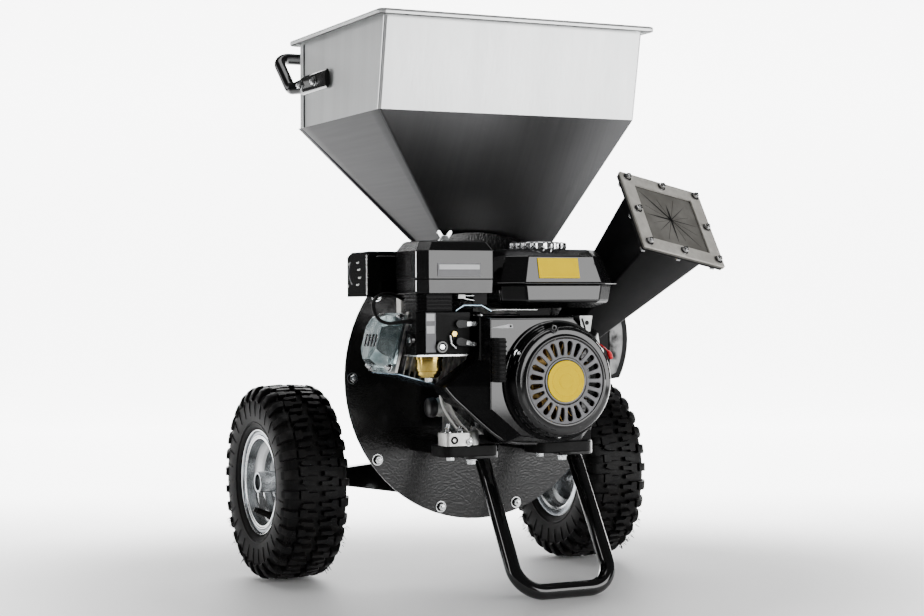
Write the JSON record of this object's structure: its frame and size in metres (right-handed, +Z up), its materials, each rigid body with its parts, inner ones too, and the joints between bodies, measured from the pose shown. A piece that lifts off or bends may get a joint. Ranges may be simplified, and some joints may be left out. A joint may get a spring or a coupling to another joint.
{
  "type": "garden shredder",
  "caption": "Petrol garden shredder: steel hopper over a round rotor drum, slanted chipper chute, side discharge, recoil-start engine, two tyred wheels and a tube stand.",
  "frame": {"origin": "bottom centre of the bounding box, on the ground", "axes": "+X along the axle towards the discharge and chute side, +Y from the engine towards the wheels, +Z up"},
  "size_m": [0.6804, 0.6704, 0.9271],
  "materials": {
    "black_paint": "gloss black powder coat",
    "satin_black_paint": "satin black paint",
    "galvanised_sheet": "galvanised sheet",
    "bright_zinc": "bright zinc plating",
    "turned_steel": "machined steel",
    "cast_alloy": "as cast",
    "tyre_rubber": "moulded",
    "black_rubber": "moulded",
    "black_plastic": "textured",
    "polished_chrome": "polished",
    "yellow_brass": "passivated",
    "grey_grille": "grey paint",
    "yellow_disc": "plain yellow",
    "red_plastic": "plain red"
  },
  "bodies": {
    "frame": {"drum_front_plate": "black_paint", "hopper_handle": "black_paint", "axle_bracket_left": "black_paint", "axle_bracket_right": "black_paint", "stand_tube": "black_paint", "engine_rail_left": "black_paint", "engine_rail_right": "black_paint", "muffler_shield": "black_paint", "fan_shroud": "black_paint", "recoil_housing": "black_paint", "fuel_tank": "black_paint", "drum_shell": "satin_black_paint", "drum_rear_plate": "satin_black_paint", "chipper_chute": "satin_black_paint", "chute_flange": "satin_black_paint", "discharge_hood": "satin_black_paint", "hopper_shell": "galvanised_sheet", "chute_frame": "galvanised_sheet", "axle_ring_left": "bright_zinc", "axle_ring_right": "bright_zinc", "mount_bolt_1": "bright_zinc", "mount_bolt_2": "bright_zinc", "mount_bolt_3": "bright_zinc", "mount_bolt_4": "bright_zinc", "air_guide": "bright_zinc", "axle": "turned_steel", "rear_bearing": "turned_steel", "muffler": "turned_steel", "crankcase": "cast_alloy", "cylinder": "cast_alloy", "rocker_cover": "cast_alloy", "carburettor": "cast_alloy", "chute_flap": "black_rubber", "plug_lead": "black_rubber", "air_cleaner_cover": "black_plastic", "air_cleaner_base": "black_plastic", "carburettor_cover": "black_plastic", "spark_plug": "polished_chrome", "float_bowl": "yellow_brass", "recoil_grille": "grey_grille", "starter_hub": "yellow_disc"},
    "wheel_left": {"tyre_left": "tyre_rubber", "wheel_rim_left": "bright_zinc"},
    "wheel_right": {"tyre_right": "tyre_rubber", "wheel_rim_right": "bright_zinc"},
    "rotor": {"crankshaft": "turned_steel", "cutter_disc": "turned_steel", "chipper_knife_1": "turned_steel", "chipper_knife_2": "turned_steel", "rotor_paddle_1": "turned_steel", "rotor_paddle_2": "turned_steel", "flywheel_fan": "cast_alloy"},
    "starter_grip": {"recoil_grip": "black_rubber"},
    "throttle": {"throttle_lever": "bright_zinc"},
    "choke": {"choke_lever": "black_plastic"},
    "fuel_valve": {"fuel_valve_lever": "black_plastic"},
    "switch": {"stop_switch": "red_plastic"},
    "tank_cap": {"fuel_cap": "polished_chrome"},
    "dipstick": {"oil_dipstick": "black_plastic"},
    "cover_nut": {"wing_nut": "bright_zinc"}
  },
  "joints": [
    {"name": "wheel_left_spin", "type": "hinge", "parent": "frame", "child": "wheel_left", "pos_m": [-0.28425, 0.17016, 0.165], "axis": [1, 0, 0], "continuous": true},
    {"name": "wheel_right_spin", "type": "hinge", "parent": "frame", "child": "wheel_right", "pos_m": [0.28425, 0.17016, 0.165], "axis": [1, 0, 0], "continuous": true},
    {"name": "rotor_spin", "type": "hinge", "parent": "frame", "child": "rotor", "pos_m": [0, 0.00316, 0.3436], "axis": [0, 1, 0], "continuous": true},
    {"name": "starter_pull", "type": "slide", "parent": "frame", "child": "starter_grip", "axis": [-1, 0, 0], "range_m": [0, 0.5], "stiffness_N_per_m": 12, "springref_m": -0.25},
    {"name": "throttle_turn", "type": "hinge", "parent": "frame", "child": "throttle", "pos_m": [-0.1105, -0.22684, 0.4465], "axis": [0, 0, 1], "range_deg": [0, 32]},
    {"name": "choke_turn", "type": "hinge", "parent": "frame", "child": "choke", "pos_m": [-0.15, -0.23614, 0.433], "axis": [0, -1, 0], "range_deg": [0, 35]},
    {"name": "fuel_valve_turn", "type": "hinge", "parent": "frame", "child": "fuel_valve", "pos_m": [-0.15, -0.23614, 0.406], "axis": [0, 1, 0], "range_deg": [0, 60]},
    {"name": "stop_switch_turn", "type": "hinge", "parent": "frame", "child": "switch", "pos_m": [0.10111, -0.21884, 0.37063], "axis": [0.9857, 0, 0.1688], "range_deg": [0, 60]},
    {"name": "fuel_cap_turn", "type": "hinge", "parent": "frame", "child": "tank_cap", "pos_m": [0.0145, -0.18684, 0.5493], "axis": [0, 0, 1], "range_deg": [0, 90]},
    {"name": "dipstick_turn", "type": "hinge", "parent": "frame", "child": "dipstick", "pos_m": [-0.1663, -0.17884, 0.303], "axis": [-1, 0, 0], "range_deg": [-360, 0]},
    {"name": "wing_nut_turn", "type": "hinge", "parent": "frame", "child": "cover_nut", "pos_m": [-0.1575, -0.20034, 0.5613], "axis": [0, 0, 1], "range_deg": [0, 360]}
  ]
}
